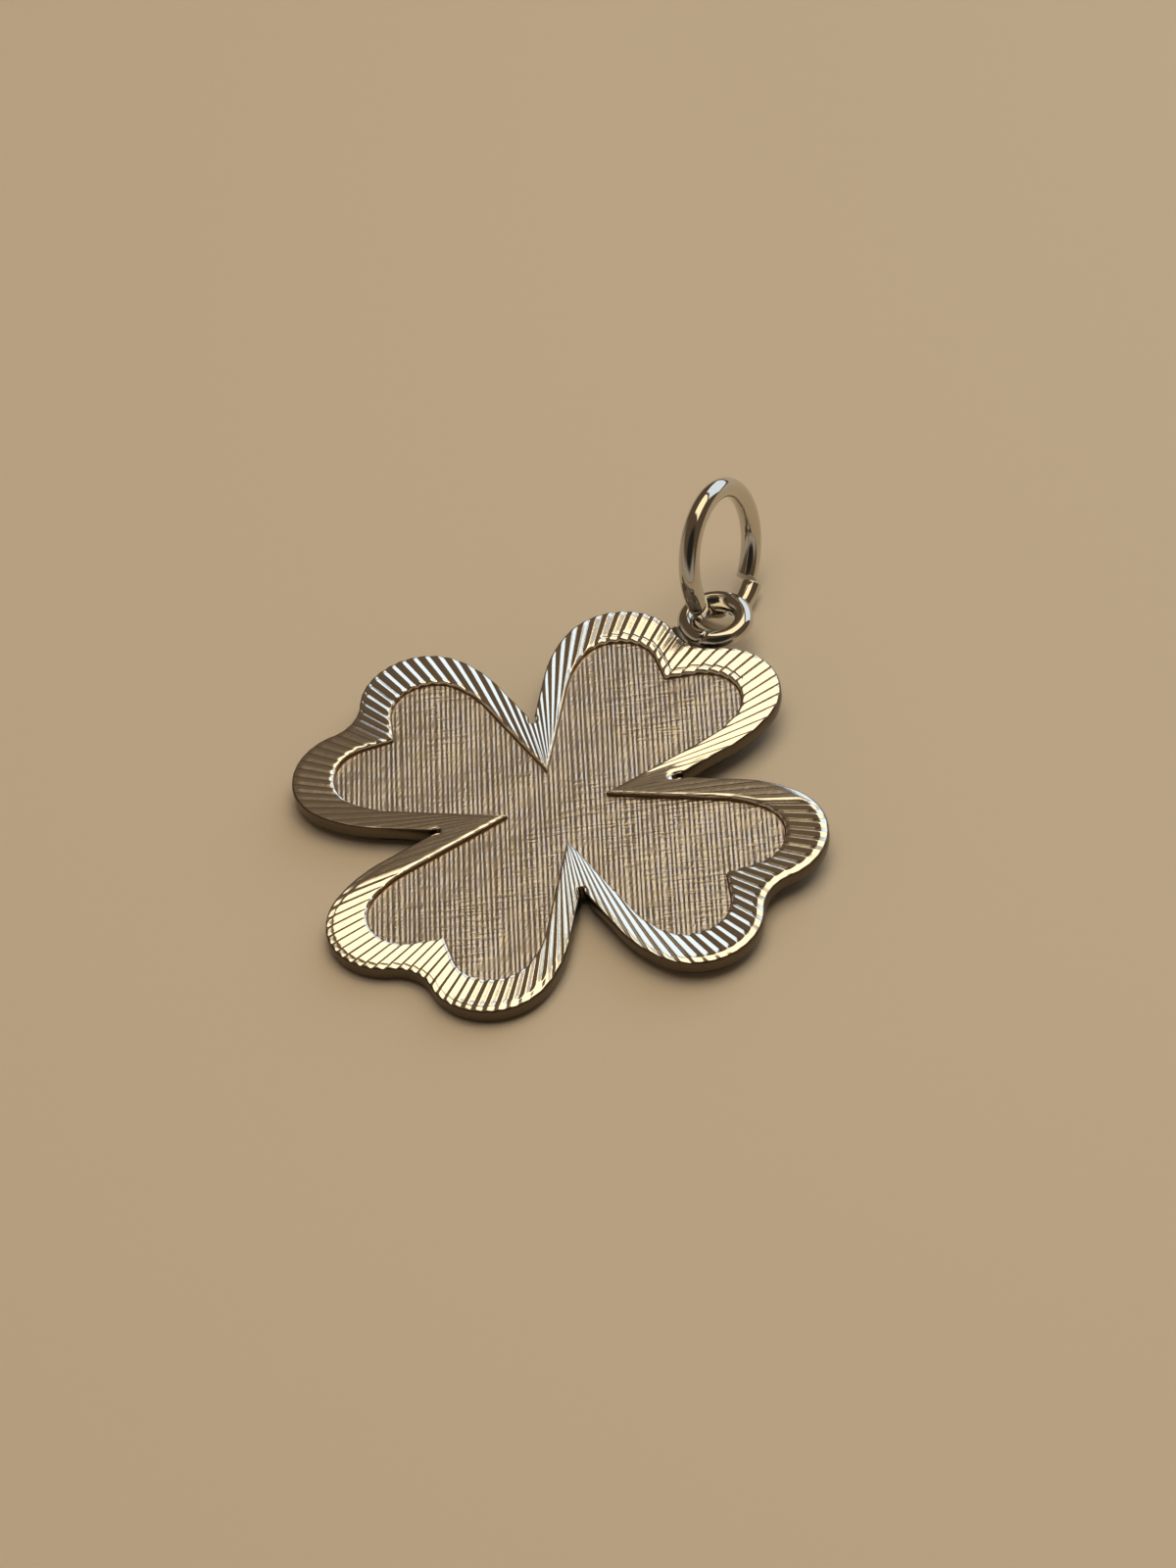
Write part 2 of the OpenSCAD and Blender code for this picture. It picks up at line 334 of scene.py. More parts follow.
def borderFall(points, toRim, toField, direction, cut, uneven):
    # how far the border lies below the plate's top, at distances from the rim and from the field: the ridge
    # depth times radius / leaf times the rounded V, and the rolls, the step, the slip and the rounds; and how much
    # of its colour is spared the painted valley shade, from 0 in a valley to 1 on a crest
    c = clover
    radius, skim, beaded = np.hypot(*points.T), along("depth", direction), along("bead", direction)
    depth = c["ridgeDepth"] * radius / (c["width"] / 2) * uneven * skim
    s = c["smooth"]
    folded = foldFrom(-50, direction)
    near = between(folded, s["at"] - s["spread"], s["at"] + s["spread"], s["softSpread"])
    depth = depth * (1 - s["share"] * near * np.clip((s["reach"] - radius) / s["softReach"], 0, 1))
    runWidth, runShare = c["runOut"]
    runOut = runShare * np.clip(1 - toRim / runWidth, 0, 1) ** 1.5
    beadAt, beadWidth, beadShare = c["bead"]
    bead = beadShare * beaded * np.clip((beadAt - toRim) / beadWidth, 0, 1)
    fall = depth * cut * (1 - np.maximum(runOut, bead))
    s = c["slip"]
    waver = s["waver"] * np.sin(direction * s["waverPace"]) * s["out"]
    slipLine = np.exp(-((toField - s["out"] - waver) / s["width"]) ** 2)
    fall = fall + s["depth"] * between(direction, s["start"], s["stop"]) * slipLine
    stepAt, stepWidth, stepDown = c["rimStep"]
    step = stepDown * between(foldFrom(0, direction), *c["rimStepFrom"], c["rimStepSoft"])
    rollWidth, rollAngle = c["rimRoll"]
    roll = along("rimRoll", direction) * gentleRoll(toRim, rollWidth + c["beadRoll"] * beaded, rollAngle)
    fall = fall + roll + step / (1 + np.exp((toRim - stepAt) / stepWidth * 4))
    keptBeads = 1 - c["skimBeads"] * cut * (1 - skim)
    fall = fall + along("fieldRoll", direction) * keptBeads * gentleRoll(toField, *c["fieldRoll"])
    rim = along("rimRound", direction) * tightRound(toRim, *c["rimRound"])
    return fall + rim + tightRound(toField, *c["fieldRound"]), 1 - cut * (1 - c["beadShadeLift"] * bead)


def ridgeColumns(outer, field):
    # columns follow the ridges from their feet on the field's line to their ends on the rim; a foot's direction
    # is its end's, spread evenly past the slots, less the turn times (rim's radius - field's) / field's
    c = clover
    angle = bearing(outer)
    rising = np.maximum.accumulate(angle)
    length = np.concatenate([[0], np.cumsum(np.hypot(*np.diff(outer, axis=0).T))])
    places = columnPlaces(length, angle, rising)

    def pairAt(at, known, pairs, period=None):
        return np.stack([np.interp(at, known, pairs[:, k], period=period) for k in (0, 1)], -1)

    rim, rimNormal = pairAt(places, length, outer), pairAt(places, length, outwards(outer))
    rimNormal /= np.hypot(*rimNormal.T)[:, None]
    direction = np.interp(places, length, rising)
    free = np.abs((direction % 90) - 45) >= c["slotSpread"]
    once = length[-1] + np.hypot(*(outer[0] - outer[-1]))
    base = np.interp(places, np.concatenate([places[free] - once, places[free], places[free] + once]),
                     np.concatenate([direction[free] - 360, direction[free], direction[free] + 360]))
    fieldAngle, fieldRadius = bearing(field), np.hypot(*field.T)
    reach = np.interp(base, fieldAngle, fieldRadius, period=360)
    inner = base - along("turn", base) * (np.hypot(*rim.T) - reach) / reach * c["turnShare"]
    reach = np.interp(inner, fieldAngle, fieldRadius, period=360)
    a = np.radians(inner)
    foot = reach[:, None] * np.stack([np.cos(a), np.sin(a)], -1)
    footNormal = pairAt(inner, fieldAngle, outwards(field), 360)
    return dict(rim=rim, rimNormal=rimNormal, foot=foot, footNormal=footNormal, reach=reach,
                direction=direction, count=ridgeCount(np.interp(places, length, angle)))


def borderRows(columns, outer, field):
    # rows from the feet to the ends, at the height thickness - borderFall, and how much painted valley shade each
    # gets; a row's distance counts across its line, so a slanting column goes further for it
    c = clover
    foot, direction, count = columns["foot"], columns["direction"], columns["count"]
    way = columns["rim"] - foot
    wayLength = np.hypot(*way.T)

    def shareOf(normal, furthest):
        slant = np.clip(np.abs((way * normal).sum(1)) / wayLength, c["leastSlant"], 1)
        return np.minimum(1 / slant, c["rowShare"] * wayLength / furthest) / wayLength

    shareIn = shareOf(columns["footNormal"], c["innerRows"][-1])
    shareOut = shareOf(columns["rimNormal"], c["outerRows"][0])
    fromIn = [distance * shareIn for distance in c["innerRows"]]
    fromOut = [1 - distance * shareOut for distance in c["outerRows"]]
    middle = [fromIn[-1] + (fromOut[0] - fromIn[-1]) * share for share in c["middleRows"]]
    cut = roundedV(count % 1, *(along(name, direction) for name in ("valley", "crestSoft", "valleySoft")))
    draws = np.random.default_rng(c["unevenSeed"]).standard_normal(c["ridges"])
    uneven = 1 + c["unevenBy"] * draws[np.floor(count).astype(int) % c["ridges"]]
    border, unshaded = [], []
    for share in fromIn + middle + fromOut:
        points = foot + way * share[:, None]
        toRim = np.where(share > 0.9999, 0, nearest(points, outer))
        toField = np.where(share < 1e-4, 0, nearest(points, field))
        fall, unshadedRow = borderFall(points, toRim, toField, direction, cut, uneven)
        border.append(np.concatenate([points, (c["thickness"] - fall)[:, None]], 1))
        unshaded.append(unshadedRow)
    return border, unshaded


def level(points, height):
    # the same points at one height
    return np.concatenate([points, np.full((len(points), 1), height)], 1)


def floorRows(columns, floorZ):
    # rows at shares of the way over the field's floor, and along the wall at distances from the feet, which are
    # smaller where the field is narrow
    c = clover
    foot, width = columns["foot"], np.clip(columns["reach"] / c["narrowUnder"], c["leastWidth"], 1)
    stepIn = -columns["footNormal"] * width[:, None]
    rows = [level((foot + c["wallRows"][0][0] * stepIn) * share, floorZ) for share in c["floorRows"]]
    return rows + [level(foot + step * stepIn, floorZ - sink) for step, sink in c["wallRows"]]


def edgeRows(columns, rimHeight):
    # a row half way down the edge, rows of its round, which are backRound (1 - cos a) further in and
    # backRound (1 - sin a) high, narrower in the slots, and rows at shares of the way over the back
    c = clover
    rim, (growsFrom, growsOver) = columns["rim"], c["roundGrows"]
    width = np.clip((np.hypot(*rim.T) - growsFrom) / growsOver, c["leastWidth"], 1)[:, None]
    halfWay = rimHeight + (c["backRound"] - rimHeight) * 0.5
    rows = [np.concatenate([rim, halfWay[:, None]], 1)]
    for a in np.radians(c["roundRows"]):
        rows.append(level(rim - columns["rimNormal"] * c["backRound"] * (1 - np.cos(a)) * width,
                          c["backRound"] * (1 - np.sin(a))))
    return rows + [level(rim * share, 0) for share in c["backRows"]]


def makePlate():
    # a grid whose rows run from the middle of the field over the wall, the border, the rim and the edge to the
    # middle of the back
    outer, field = outerLine(), fieldLine()
    columns = ridgeColumns(outer, field)
    floorZ = clover["thickness"] - clover["fieldDepth"]
    sunk = floorRows(columns, floorZ)
    border, unshaded = borderRows(columns, outer, field)
    rows = np.array(sunk + border + edgeRows(columns, border[-1][:, 2]))
    piece = makeMesh("cloverPlate", layDown(rows), firstPole=layDown([0, 0, floorZ]), lastPole=layDown([0, 0, 0]),
                     inward=True)
    # the mask of the border's painted shade, which browns its colour towards each valley: 0 in a valley, 1 on a
    # crest
    crest = np.zeros(rows.shape[:2])
    rimAt = len(sunk) + len(border)
    crest[len(sunk):rimAt] = unshaded
    crest[rimAt:] = clover["plainUnshaded"]
    crest = np.concatenate([crest.ravel(), [0, clover["plainUnshaded"]]]).astype(np.float32)
    piece.data.attributes.new("crest", "FLOAT", "POINT").data.foreach_set("value", crest)
    # material slots: 1 the hatched floor, 3 the corner and wall in painted shade, 0 the border, 2 the edge and the
    # back, painted darker as a reflection of the shaded floor
    perRow = rows.shape[1]
    slots = np.array([1, 3, 0, 2])[
        np.searchsorted([len(sunk) - 2, len(sunk), rimAt - 4], np.arange(len(rows) - 1), "right")]
    slots = np.concatenate([np.repeat(slots, perRow), np.repeat([1, 2], perRow)]).astype(np.int32)
    piece.data.polygons.foreach_set("material_index", slots)
    print("plate", len(rows), "rows", perRow, "columns")
    return piece


plate = makePlate()

# the wire loop beyond the top leaf's dent, with a closed joint on its near side
loop = dict(hole=1.44, wire=0.72, lift=0.5, gap=0.18, seamAt=-90, seamDepth=0.06, seamWidth=3, seamSkew=14)


def makeLoop():
    # a torus: ((R + w cos b) cos a, (R + w cos b) sin a, w sin b), with w less at the closed joint
    radius = (loop["hole"] + loop["wire"]) / 2
    middle = clover["width"] / 2 - clover["dentDepth"] + loop["gap"] + radius + loop["wire"] / 2
    a = np.radians(np.arange(0, 360, 1.25))[:, None]
    b = np.radians(np.arange(0, 360, 7.5))[None, :]
    off = (np.degrees(a) - loop["seamAt"] + 180 - loop["seamSkew"] * np.sin(b)) % 360 - 180
    w = loop["wire"] / 2 - loop["seamDepth"] * np.exp(-(off / loop["seamWidth"]) ** 2)
    points = np.stack([(radius + w * np.cos(b)) * np.cos(a), middle + (radius + w * np.cos(b)) * np.sin(a),
                       loop["lift"] + w * np.sin(b) + 0 * a], -1)
    return makeMesh("solderedLoop", layDown(points), ringed=True, inward=True)


loopPiece = makeLoop()
print("soldered loop")

# solder: a fillet under the loop's near side, and a dull smear that ran over the ridge ends beside the cleft
solder = dict(
    fillet=dict(at=(-0.05, 9.56, 0.36), half=(0.66, 0.4, 0.26), turn=3, lumps=0.04),
    smear=dict(at=(-0.74, 9.5, 0.42), half=(0.62, 0.27, 0.25), turn=-28, lumps=0.03))


def makeSolder(name, at, half, turn, lumps):
    # a lumpy ellipsoid: half sizes times (cos v cos u, cos v sin u, sin v), the first two times a swell of
    # 1 + lumps sin(3u + 0.7) cos v + lumps sin(5u + 2v) / 2
    v = np.radians(np.linspace(-84, 84, 29))[:, None]
    u = np.radians(np.arange(0, 360, 6))[None, :]
    swell = 1 + lumps * np.sin(3 * u + 0.7) * np.cos(v) + 0.5 * lumps * np.sin(5 * u + 2 * v)
    x, y = half[0] * np.cos(v) * np.cos(u) * swell, half[1] * np.cos(v) * np.sin(u) * swell
    z = half[2] * np.sin(v) + 0 * u
    c, s = np.cos(np.radians(turn)), np.sin(np.radians(turn))
    points = np.stack([c * x - s * y, s * x + c * y, z], -1) + at
    ends = np.array([[0, 0, -half[2]], [0, 0, half[2]]]) + at
    return makeMesh(name, layDown(points), firstPole=layDown(ends[0]), lastPole=layDown(ends[1]))


filletPiece = makeSolder("solderFillet", **solder["fillet"])
smearPiece = makeSolder("solderSmear", **solder["smear"])
print("solder")

# the open jump ring, standing on the floor: bendOver is how many degrees past the far side its bend comes on over
ring = dict(outside=5.8, wire=0.78, gap=0.22, offset=0.3, bendOver=18, bevel=0.035, lean=12, turn=6, cutAt=28,
            centre=(-0.765, 9.883, 2.845))


def rotation(axis, degrees):
    # a turn about one axis, as a matrix
    return np.array(Matrix.Rotation(np.radians(degrees), 3, axis))


def makeRing():
    # an open torus, ((R + w cos b) cos a, (R + w cos b) sin a, w sin b), from one cut end to the other; the
    # upper half is turned about the tangent line opposite the cut by asin(offset / 2R), so that its end stands
    # beside the lower one's
    radius, w = (ring["outside"] - ring["wire"]) / 2, ring["wire"] / 2
    reach = 180 - np.degrees(np.arcsin(ring["gap"] / 2 / radius))
    a = np.radians(np.linspace(reach, -reach, 260))[:, None]
    b = np.radians(np.arange(0, 360, 6))[None, :]
    wire = np.stack([(radius + w * np.cos(b)) * np.cos(a), (radius + w * np.cos(b)) * np.sin(a),
                     w * np.sin(b) + 0 * a], -1)

    def endRow(at, shrink, back):
        at = at - np.sign(at) * back / radius
        return np.stack([(radius + w * shrink * np.cos(b[0])) * np.cos(at),
                         (radius + w * shrink * np.cos(b[0])) * np.sin(at), w * shrink * np.sin(b[0])], -1)

    # each end has a flat face round its pole and a narrow bevel
    top, bottom, bevel = a[0, 0], a[-1, 0], ring["bevel"]
    steps = ((0.5, 0), (1 - bevel / w, 0), (1 - 0.3 * bevel / w, 0.3 * bevel), (1, bevel))
    inside = np.abs(a[:, 0]) < np.radians(reach) - 1.5 * bevel / radius
    wire = np.concatenate([[endRow(top, *step) for step in steps], wire[inside],
                           [endRow(bottom, *step) for step in steps[::-1]]])
    poles = [[radius * np.cos(at), radius * np.sin(at), 0] for at in (top, bottom)]
    points = np.concatenate([wire.reshape(-1, 3), poles])
    on = np.clip(-np.degrees(np.arctan2(points[:, 1], points[:, 0])) / ring["bendOver"], 0, 1)
    bend = np.arcsin(ring["offset"] / (2 * radius)) * on ** 2 * (3 - 2 * on)
    x, y, z = points[:, 0] - radius, points[:, 1], points[:, 2]
    bent = np.stack([np.cos(bend) * x - np.sin(bend) * z + radius, y, np.sin(bend) * x + np.cos(bend) * z], -1)
    stand = rotation("Z", ring["turn"]) @ rotation("Y", -ring["lean"]) @ rotation("Z", 90) @ rotation("X", 90)
    stand = stand @ rotation("Z", ring["cutAt"] + 90)
    placed = mm * (bent @ stand.T + ring["centre"])
    return makeMesh("jumpRing", placed[:-2].reshape(wire.shape), firstPole=placed[-2], lastPole=placed[-1])


ringPiece = makeRing()
print("jump ring")


def makeSilver(name, hexColour, roughness, grains=None, strength=0.0, depth=0.01):
    # a metal whose face has so many grains a millimetre, as a bump of a depth in millimetres; real silver's are
    # finer, and these are as coarse as they need to show
    material = bpy.data.materials.new(name)
    material.use_nodes = True
    tree = material.node_tree
    tree.nodes.clear()
    shader = addNode(tree, "ShaderNodeBsdfPrincipled",
                     {"Base Color": toLinear(hexColour), "Metallic": 1.0, "Roughness": roughness})
    addNode(tree, "ShaderNodeOutputMaterial", None, {0: shader.outputs[0]})
    place = addNode(tree, "ShaderNodeTexCoord").outputs["Object"]
    if grains:
        grain = addNode(tree, "ShaderNodeTexNoise", {"Scale": grains / mm, "Detail": 3.0}, {"Vector": place})
        bump = addNode(tree, "ShaderNodeBump", {"Strength": strength, "Distance": depth * mm},
                       {"Height": grain.outputs[0]})
        tree.links.new(bump.outputs[0], shader.inputs["Normal"])
    return material, tree, shader, place


# sterling silver cut with a polished tool: its facets mirror the room sharply, with a little chatter; its colour
# turns to a painted shade, a brown, towards each groove's valley
brightCutLook = dict(colour="#F0EBE2", valley="#A48E70", valleyShadeWidth=0.26, roughness=0.17)
brightCut, tree, shader, place = makeSilver(
    "brightCutSterlingSilver", brightCutLook["colour"], brightCutLook["roughness"], grains=4, strength=0.35)
# the painted valley shade: where the crest share is low, the silver is mixed to the brown valley colour
crestShare = addNode(tree, "ShaderNodeAttribute", {"attribute_name": "crest"}).outputs["Fac"]
unshadedShare = addNode(tree, "ShaderNodeMapRange", {"interpolation_type": "SMOOTHSTEP",
                                             "From Max": brightCutLook["valleyShadeWidth"]}, {"Value": crestShare})
tone = addNode(tree, "ShaderNodeMix", {"data_type": "RGBA", 6: toLinear(brightCutLook["valley"]),
                                       7: toLinear(brightCutLook["colour"])}, {0: unshadedShare.outputs[0]})
tree.links.new(tone.outputs[2], shader.inputs["Base Color"])

# sterling silver engraved with close parallel lines and scratched across them: a soft sheen broken into
# short bright dashes; angles in degrees, pitches in millimetres, lengths in pitches
hatch = dict(
    roughness=0.32, warm="#D8CEBA", cool="#CFC8CB",
    # a height of one is this deep; the lines and how far they wander; how much the dashes weaken or deepen them
    depth=0.007, lineAt=35.5, pitch=0.186, lineLength=30, wander=1.2, streakHeight=0.5, dashLength=1.6,
    dashDepth=(0.5, 1.6),
    # the scratches across, where the noise turns into a scratch, and how much of the lines it leaves
    crossAt=-55.5, crossPitch=0.24, crossLength=8, crossEdge=(0.4, 0.58), crossLeaves=(0.45, 1.1),
    # patches, dots and swells a millimetre; the scratches', the dots' and the swells' heights
    patches=0.38, crossHeight=1.5, dots=1.5, dotSize=0.11, dotHeight=2.2, swells=0.33, swellHeight=16.0)
hatched, tree, shader, place = makeSilver("hatchedSterlingSilver", "#DBD3C6", hatch["roughness"])


def stretched(angle, pitch, length):
    # a Mapping node's settings that turn object metres into pitches across lines and lengths along them
    return {"vector_type": "TEXTURE", "Rotation": (0, 0, np.radians(angle)),
            "Scale": (pitch * mm, pitch * length * mm, 1.0)}


lines, dashLines, crossLines = [
    addNode(tree, "ShaderNodeMapping", stretched(*turned), {"Vector": place}).outputs[0]
    for turned in ((hatch["lineAt"], hatch["pitch"], hatch["lineLength"]),
                   (hatch["lineAt"], hatch["pitch"], hatch["dashLength"]),
                   (hatch["crossAt"], hatch["crossPitch"], hatch["crossLength"]))]
# the lines: a sine wave across them that wanders a little
wander = addNode(tree, "ShaderNodeTexNoise", {"Scale": 0.4, "Detail": 2.0}, {"Vector": lines})
parts = addNode(tree, "ShaderNodeSeparateXYZ", None, {0: lines})
phase = addNode(tree, "ShaderNodeMath", {"operation": "MULTIPLY_ADD", 1: hatch["wander"]},
                {0: wander.outputs[0], 2: parts.outputs[0]})
turns = addNode(tree, "ShaderNodeMath", {"operation": "MULTIPLY", 1: 2 * np.pi}, {0: phase.outputs[0]})
wave = addNode(tree, "ShaderNodeMath", {"operation": "SINE"}, {0: turns.outputs[0]})
# cross scratches make the lines weaker, and dashes break them up
cross = addNode(tree, "ShaderNodeTexNoise", {"Scale": 1.6, "Detail": 2.0, "Roughness": 0.5},
                {"Vector": crossLines})
crossCut = addNode(tree, "ShaderNodeMapRange",
                   {"interpolation_type": "SMOOTHSTEP", "From Min": hatch["crossEdge"][0],
                    "From Max": hatch["crossEdge"][1]}, {"Value": cross.outputs[0]})
left = addNode(tree, "ShaderNodeMapRange", {"To Min": hatch["crossLeaves"][0], "To Max": hatch["crossLeaves"][1]},
               {"Value": crossCut.outputs[0]})
dash = addNode(tree, "ShaderNodeTexNoise", {"Scale": 0.8, "Detail": 1.0}, {"Vector": dashLines})
dashes = addNode(tree, "ShaderNodeMapRange",
                 {"From Min": 0.35, "From Max": 0.65, "To Min": hatch["dashDepth"][0],
                  "To Max": hatch["dashDepth"][1]}, {"Value": dash.outputs[0]})
broken = addNode(tree, "ShaderNodeMath", {"operation": "MULTIPLY"}, {0: left.outputs[0], 1: dashes.outputs[0]})
cutLines = addNode(tree, "ShaderNodeMath", {"operation": "MULTIPLY"}, {0: wave.outputs[0], 1: broken.outputs[0]})
streaks = addNode(tree, "ShaderNodeTexNoise", {"Scale": 2.2, "Detail": 2.0, "Roughness": 0.5}, {"Vector": lines})
height = addNode(tree, "ShaderNodeMath", {"operation": "MULTIPLY_ADD", 1: hatch["streakHeight"]},
                 {0: streaks.outputs[0], 2: cutLines.outputs[0]})
# the scratches themselves come in patches about 3 millimetres across
patch = addNode(tree, "ShaderNodeTexNoise", {"Scale": hatch["patches"] / mm, "Detail": 1.0}, {"Vector": place})
patches = addNode(tree, "ShaderNodeMapRange",
                  {"From Min": 0.48, "From Max": 0.62, "To Max": hatch["crossHeight"]},
                  {"Value": patch.outputs[0]})
height = addNode(tree, "ShaderNodeMath", {"operation": "MULTIPLY_ADD"},
                 {0: crossCut.outputs[0], 1: patches.outputs[0], 2: height.outputs[0]})
# small raised dots that glint, and long swells that vary the sheen
dot = addNode(tree, "ShaderNodeTexVoronoi", {"Scale": hatch["dots"] / mm}, {"Vector": place})
dots = addNode(tree, "ShaderNodeMapRange",
               {"From Max": hatch["dotSize"], "To Min": hatch["dotHeight"], "To Max": 0.0},
               {"Value": dot.outputs["Distance"]})
height = addNode(tree, "ShaderNodeMath", {"operation": "ADD"}, {0: height.outputs[0], 1: dots.outputs[0]})
swell = addNode(tree, "ShaderNodeTexNoise", {"Scale": hatch["swells"] / mm, "Detail": 2.0}, {"Vector": place})
height = addNode(tree, "ShaderNodeMath", {"operation": "MULTIPLY_ADD", 1: hatch["swellHeight"]},
                 {0: swell.outputs[0], 2: height.outputs[0]})
bump = addNode(tree, "ShaderNodeBump", {"Strength": 1.0, "Distance": hatch["depth"] * mm},
               {"Height": height.outputs[0]})
tree.links.new(bump.outputs[0], shader.inputs["Normal"])
# narrow streaks of a warmer and a cooler silver along the lines
sheen = addNode(tree, "ShaderNodeTexNoise", {"Scale": 3.5, "Detail": 1.0}, {"Vector": lines})
sheenShare = addNode(tree, "ShaderNodeMapRange", {"From Min": 0.38, "From Max": 0.62}, {"Value": sheen.outputs[0]})
tone = addNode(tree, "ShaderNodeMix",
               {"data_type": "RGBA", 6: toLinear(hatch["warm"]), 7: toLinear(hatch["cool"])},
               {0: sheenShare.outputs[0]})
tree.links.new(tone.outputs[2], shader.inputs["Base Color"])

# sterling silver buffed with a cloth wheel and worn, softly grained: the edge and the back, painted a darker brown
# as a painted reflection of the shaded floor beside them
paintedDarkEdge = makeSilver("buffedSilverPaintedDark", "#6A6052", 0.32, grains=2.5, strength=0.3)[0]
# painted shade in the corner round the field, where the wall falls into shadow: a thin dull dark brown line
cornerShade = makeSilver("cornerShadeSilver", "#8A6A48", 0.42, grains=6, strength=0.5)[0]
# drawn silver wire, polished: round mirrors with barely visible waves
wireSilver = makeSilver("polishedSilverWire", "#D2CDC4", 0.07, grains=1.5, strength=0.2)[0]
# silver solder as it froze: greyer, dull and pitted
dullSolder = makeSilver("dullSilverSolder", "#8E8A82", 0.34, grains=3.5, strength=0.6, depth=0.02)[0]
print("silver finishes")

for piece, node, slot, finishes in (
        (plate, "clover", "silver_plate", (brightCut, hatched, paintedDarkEdge, cornerShade)),
        (loopPiece, "clover", "silver_plate", (wireSilver,)),
        (filletPiece, "clover", "silver_plate", (dullSolder,)),
        (smearPiece, "clover", "silver_plate", (dullSolder,)),
        (ringPiece, "jump_ring", "silver_wire", (wireSilver,))):
    for finish in finishes:
        piece.data.materials.append(finish)
    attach(piece, "root")
    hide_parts(node)
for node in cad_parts.values():
    node.data.materials.clear()
    node.data.materials.append(wireSilver)
print("pieces dressed")

# a plain pale floor, painted matt; its half size is in metres
floorLook = dict(half=1.2, colour="#E6D5BC", roughness=0.6)
half = floorLook["half"]
floorMesh = bpy.data.meshes.new("paleFloor")
floorCorners = [(-half, -half, 0), (half, -half, 0), (half, half, 0), (-half, half, 0)]
floorMesh.from_pydata(floorCorners, [], [(0, 1, 2, 3)])
floor = bpy.data.objects.new("paleFloor", floorMesh)
scene.collection.objects.link(floor)
matte = bpy.data.materials.new("palePaintedBoard")
matte.use_nodes = True
matteShader = matte.node_tree.nodes["Principled BSDF"]
matteShader.inputs["Base Color"].default_value = toLinear(floorLook["colour"])
matteShader.inputs["Roughness"].default_value = floorLook["roughness"]
floorMesh.materials.append(matte)

# a window low behind the pendant, a bright ceiling above it, and a fill for the floor alone, which the metal
# doesn't mirror: each is a rectangle on the wall y = distance or the ceiling z = distance, and its edges along
# x, and along the wall's z or the ceiling's y, are in shares of the distance
lights = dict(
    windowLight=dict(distance=0.5, xEdges=(-0.56, 0.62), otherEdges=(0.02, 0.90), onWall=True,
                     hexColour="#DDF0FF", radiance=1.25, soft=0.05, mirrored=True),
    ceilingLight=dict(distance=0.6, xEdges=(-0.5, 0.56), otherEdges=(0.11, 0.99), onWall=False,
                      hexColour="#FFECC6", radiance=1.6, soft=0.09, mirrored=True),
    floorFill=dict(distance=0.22, xEdges=(-0.5, 0.5), otherEdges=(-0.5, 0.5), onWall=False,
                   hexColour="#FFF6E8", radiance=1.5, soft=0.3, mirrored=False))


def softBox(name, distance, xEdges, otherEdges, onWall, hexColour, radiance, soft, mirrored):
    # its power is the radiance times pi times its area, and it fades out over the share soft of each side
    (x0, x1), (y0, y1) = xEdges, otherEdges
    data = bpy.data.lights.new(name, "AREA")
    data.shape, data.size, data.size_y = "RECTANGLE", (x1 - x0) * distance, (y1 - y0) * distance
    data.energy = radiance * np.pi * data.size * data.size_y
    data.color = toLinear(hexColour)[:3]
    data.use_nodes = True
    tree = data.node_tree
    spot = addNode(tree, "ShaderNodeNewGeometry").outputs["Parametric"]
    parts = addNode(tree, "ShaderNodeSeparateXYZ", None, {0: spot})
    fades = []
    for k in (0, 1):
        side = addNode(tree, "ShaderNodeMath", {"operation": "PINGPONG", 1: 0.5}, {0: parts.outputs[k]})
        fades.append(addNode(tree, "ShaderNodeMapRange", {"interpolation_type": "SMOOTHSTEP", "From Max": soft},
                             {"Value": side.outputs[0]}))
    both = addNode(tree, "ShaderNodeMath", {"operation": "MULTIPLY"},
                   {0: fades[0].outputs[0], 1: fades[1].outputs[0]})
    tree.links.new(both.outputs[0], tree.nodes["Emission"].inputs["Strength"])
    # the light shines along its own -Z, away from the wall or the ceiling
    middleX, middleOther = (x0 + x1) / 2, (y0 + y1) / 2
    if onWall:
        place, axes = [middleX, 1, middleOther], ((-1, 0, 0), (0, 0, 1), (0, 1, 0))
    else:
        place, axes = [middleX, middleOther, 1], ((1, 0, 0), (0, 1, 0), (0, 0, 1))
    light = bpy.data.objects.new(name, data)
    turned = Matrix([tip(axis) for axis in axes]).transposed().to_4x4()
    light.matrix_world = Matrix.Translation(tip(np.array(place) * distance)) @ turned
    light.visible_camera = False
    light.visible_glossy = mirrored
    scene.collection.objects.link(light)


for name, settings in lights.items():
    softBox(name, **settings)

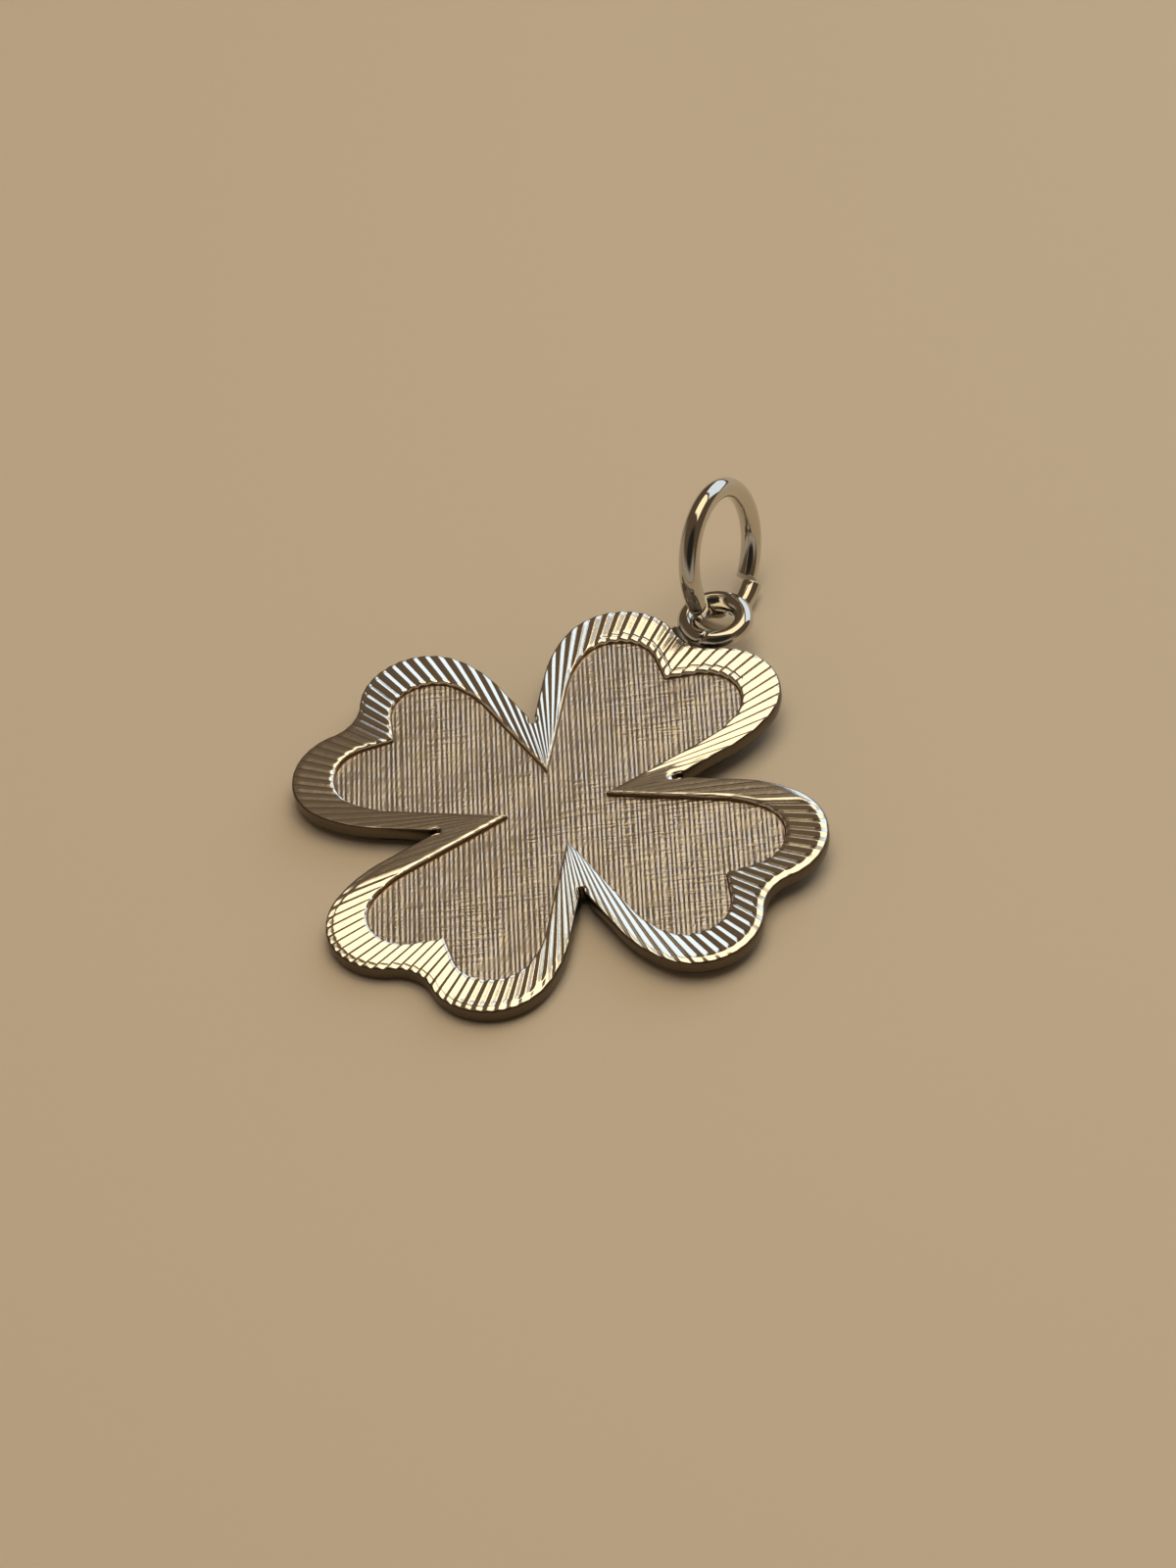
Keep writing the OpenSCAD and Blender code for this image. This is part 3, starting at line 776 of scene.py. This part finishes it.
# the room is dim and brown, paler low down on the side away from the window, and dark behind the camera, which
# only the round wires mirror in the photo's view; each pair says where a tone starts and where it is full, as
# the direction's height, its y, or the cosine of its angle to the dark
room = dict(dim="#5F4F3D", pale="#A89C8C", paleHeight=(0.5, 0.25), paleY=(0.1, -0.3),
            dark="#2A2823", darkTowards=(0.45, -0.57, 0.69), darkCosine=(0.8, 0.94))
world = bpy.data.worlds.new("dimRoom")
world.use_nodes = True
tree = world.node_tree
way = addNode(tree, "ShaderNodeTexCoord").outputs["Generated"]
parts = addNode(tree, "ShaderNodeSeparateXYZ", None, {0: way})
low, away = [
    addNode(tree, "ShaderNodeMapRange", {"From Min": room[pair][0], "From Max": room[pair][1]}, {"Value": socket})
    for pair, socket in (("paleHeight", parts.outputs[2]), ("paleY", parts.outputs[1]))]
both = addNode(tree, "ShaderNodeMath", {"operation": "MULTIPLY"}, {0: low.outputs[0], 1: away.outputs[0]})
paler = addNode(tree, "ShaderNodeMix",
                {"data_type": "RGBA", 6: toLinear(room["dim"]), 7: toLinear(room["pale"])},
                {0: both.outputs[0]})
towards = addNode(tree, "ShaderNodeVectorMath", {"operation": "DOT_PRODUCT", 1: room["darkTowards"]}, {0: way})
near = addNode(tree, "ShaderNodeMapRange",
               {"interpolation_type": "SMOOTHSTEP", "From Min": room["darkCosine"][0],
                "From Max": room["darkCosine"][1]}, {"Value": towards.outputs["Value"]})
walls = addNode(tree, "ShaderNodeMix", {"data_type": "RGBA", 7: toLinear(room["dark"])},
                {0: near.outputs[0], 6: paler.outputs[2]})
background = tree.nodes["Background"]
background.inputs["Strength"].default_value = 1.0
tree.links.new(walls.outputs[2], background.inputs["Color"])
scene.world = world
print("floor, lights and room")

# the photo's view: place in millimetres, directions in the floor's frame, lens and sensor height in millimetres
view = dict(place=(80.935, -102.856, 123.926), forward=(-0.45116018, 0.56797576, -0.68837347),
            down=(0.32605724, -0.61310836, -0.71957266), lens=75, sensor=24)
cameraData = bpy.data.cameras.new("photoCamera")
cameraData.sensor_fit = "VERTICAL"
cameraData.sensor_height = view["sensor"]
cameraData.lens = view["lens"]
cameraData.clip_start = 0.005
camera = bpy.data.objects.new("photoCamera", cameraData)
back = -Vector(view["forward"]).normalized()
up = -Vector(view["down"]).normalized()
turned = Matrix((up.cross(back), up, back)).transposed().to_4x4()
camera.matrix_world = Matrix.Translation(Vector(view["place"]) * mm) @ turned
scene.collection.objects.link(camera)
scene.camera = camera
scene.view_settings.view_transform = "Standard"
print("camera")
